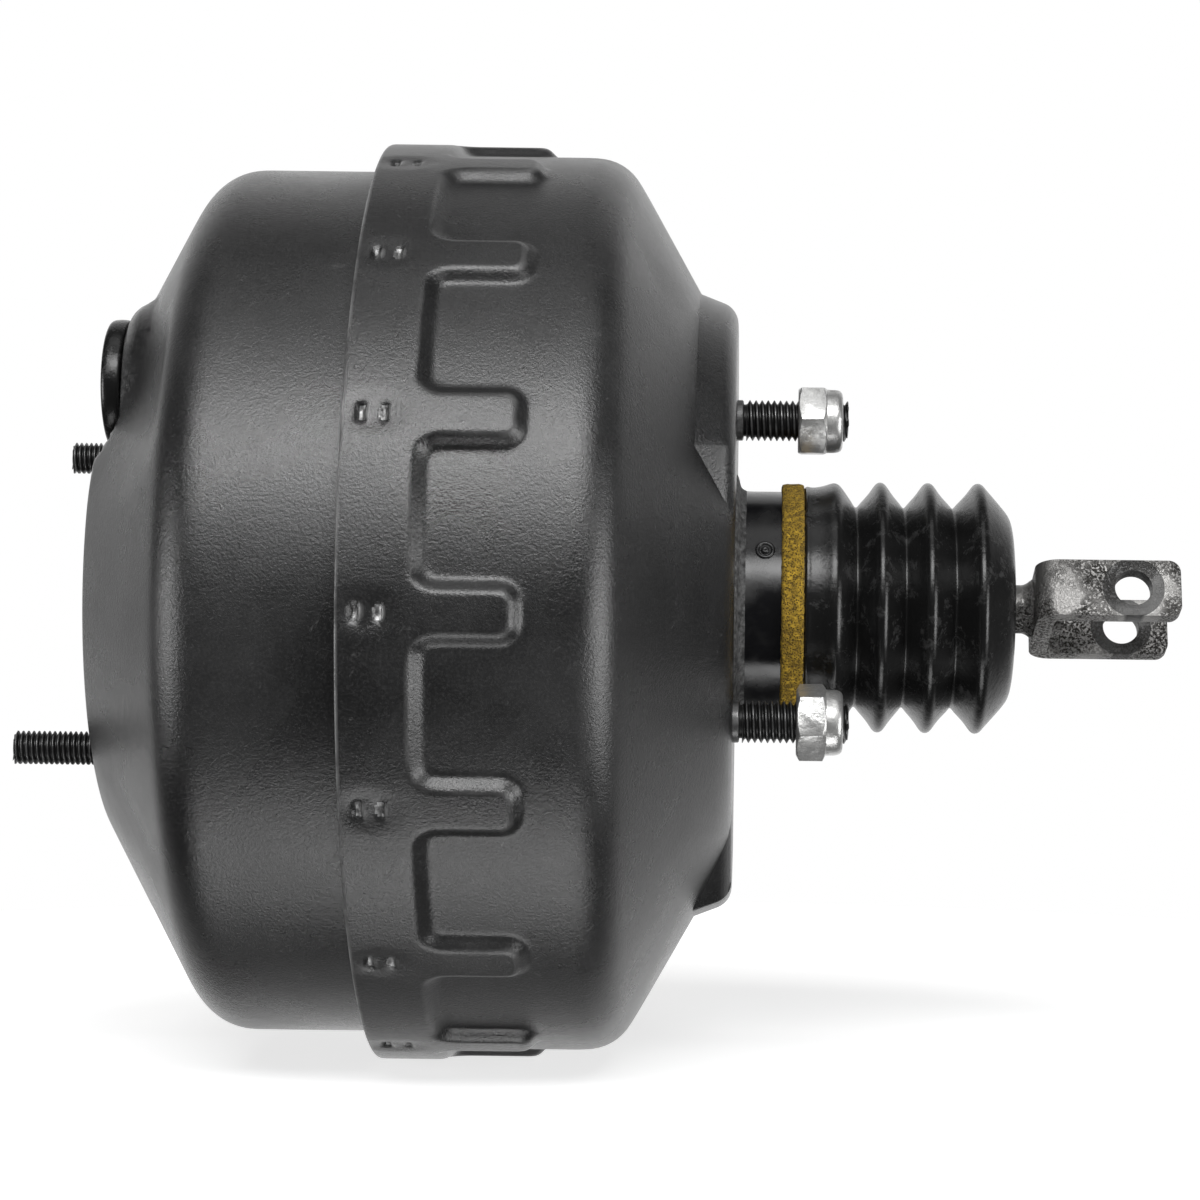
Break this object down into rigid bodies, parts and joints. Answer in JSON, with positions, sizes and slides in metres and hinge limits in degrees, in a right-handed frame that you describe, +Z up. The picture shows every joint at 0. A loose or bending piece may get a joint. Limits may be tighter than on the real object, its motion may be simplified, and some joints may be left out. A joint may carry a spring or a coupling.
{
  "type": "brake booster",
  "caption": "Tandem vacuum brake booster: two clamped dark shells, firewall studs with lock nuts, rubber dust boot and pedal rod with a pin fork",
  "frame": {"origin": "centre of the three studs' circle, on the face that bolts to the firewall", "axes": "+X along the booster's axis towards the pedal, +Z up, -Y is the side the picture shows"},
  "size_m": [0.2797, 0.2248, 0.2248],
  "materials": {
    "shell": "satin",
    "steel_dark": "satin",
    "steel_zinc": "satin",
    "stud": "satin",
    "nylon": "matt",
    "rubber": "matt",
    "boot": "satin",
    "foam": "matt",
    "filter": "matt",
    "phenolic": "matt",
    "spring": "satin",
    "fork": "pitted",
    "pressed": "satin"
  },
  "bodies": {
    "housing": {"rear_shell": "shell", "front_shell": "shell", "rear_stiffener_plate": "steel_dark", "front_stiffener_plate": "steel_dark", "firewall_studs": "stud", "master_cylinder_studs": "stud", "firewall_nuts": "steel_zinc", "nut_inserts": "nylon", "vacuum_grommet": "rubber", "rear_seal": "rubber", "rear_guide": "nylon", "seal_retainer": "pressed", "foam_ring": "foam", "centre_plate": "pressed", "centre_seal": "rubber", "dust_boot": "boot", "front_diaphragm": "rubber", "rear_diaphragm": "rubber", "return_spring": "spring"},
    "power_piston": {"valve_body": "phenolic", "stop_key": "pressed", "front_diaphragm_plate": "pressed", "rear_diaphragm_plate": "pressed", "front_plate_retainer": "pressed", "rear_plate_retainer": "pressed", "reaction_disc": "rubber", "output_rod": "spring", "output_rod_tip": "spring", "output_rod_retainer": "pressed", "poppet_valve": "rubber", "poppet_retainer": "pressed", "poppet_spring": "spring", "rod_return_spring": "spring", "air_filter": "filter", "filter_silencer": "filter"},
    "plunger": {"valve_plunger": "spring"},
    "pedal_rod": {"input_rod": "fork", "rod_spring_seat": "pressed", "boot_collar": "boot"},
    "fork": {"clevis": "fork"}
  },
  "joints": [
    {"name": "power_stroke", "type": "slide", "parent": "housing", "child": "power_piston", "axis": [-1, 0, 0], "range_m": [0, 0.032], "stiffness_N_per_m": 1500, "springref_m": -0.03, "deforming": ["dust_boot", "return_spring", "front_diaphragm", "rear_diaphragm"]},
    {"name": "valve_travel", "type": "slide", "parent": "power_piston", "child": "plunger", "axis": [-1, 0, 0], "range_m": [0, 0.0012], "stiffness_N_per_m": 2000, "springref_m": -0.004, "deforming": ["poppet_spring", "rod_return_spring"]},
    {"name": "rod_swing", "type": "hinge", "parent": "plunger", "child": "pedal_rod", "pos_m": [-0.02, 0, 0], "axis": [0, 1, 0], "range_deg": [-2.5, 2.5], "stiffness_Nm_per_rad": 4},
    {"name": "clevis_turn", "type": "hinge", "parent": "pedal_rod", "child": "fork", "pos_m": [0.0758, 0, 0], "axis": [1, 0, 0], "continuous": true}
  ]
}
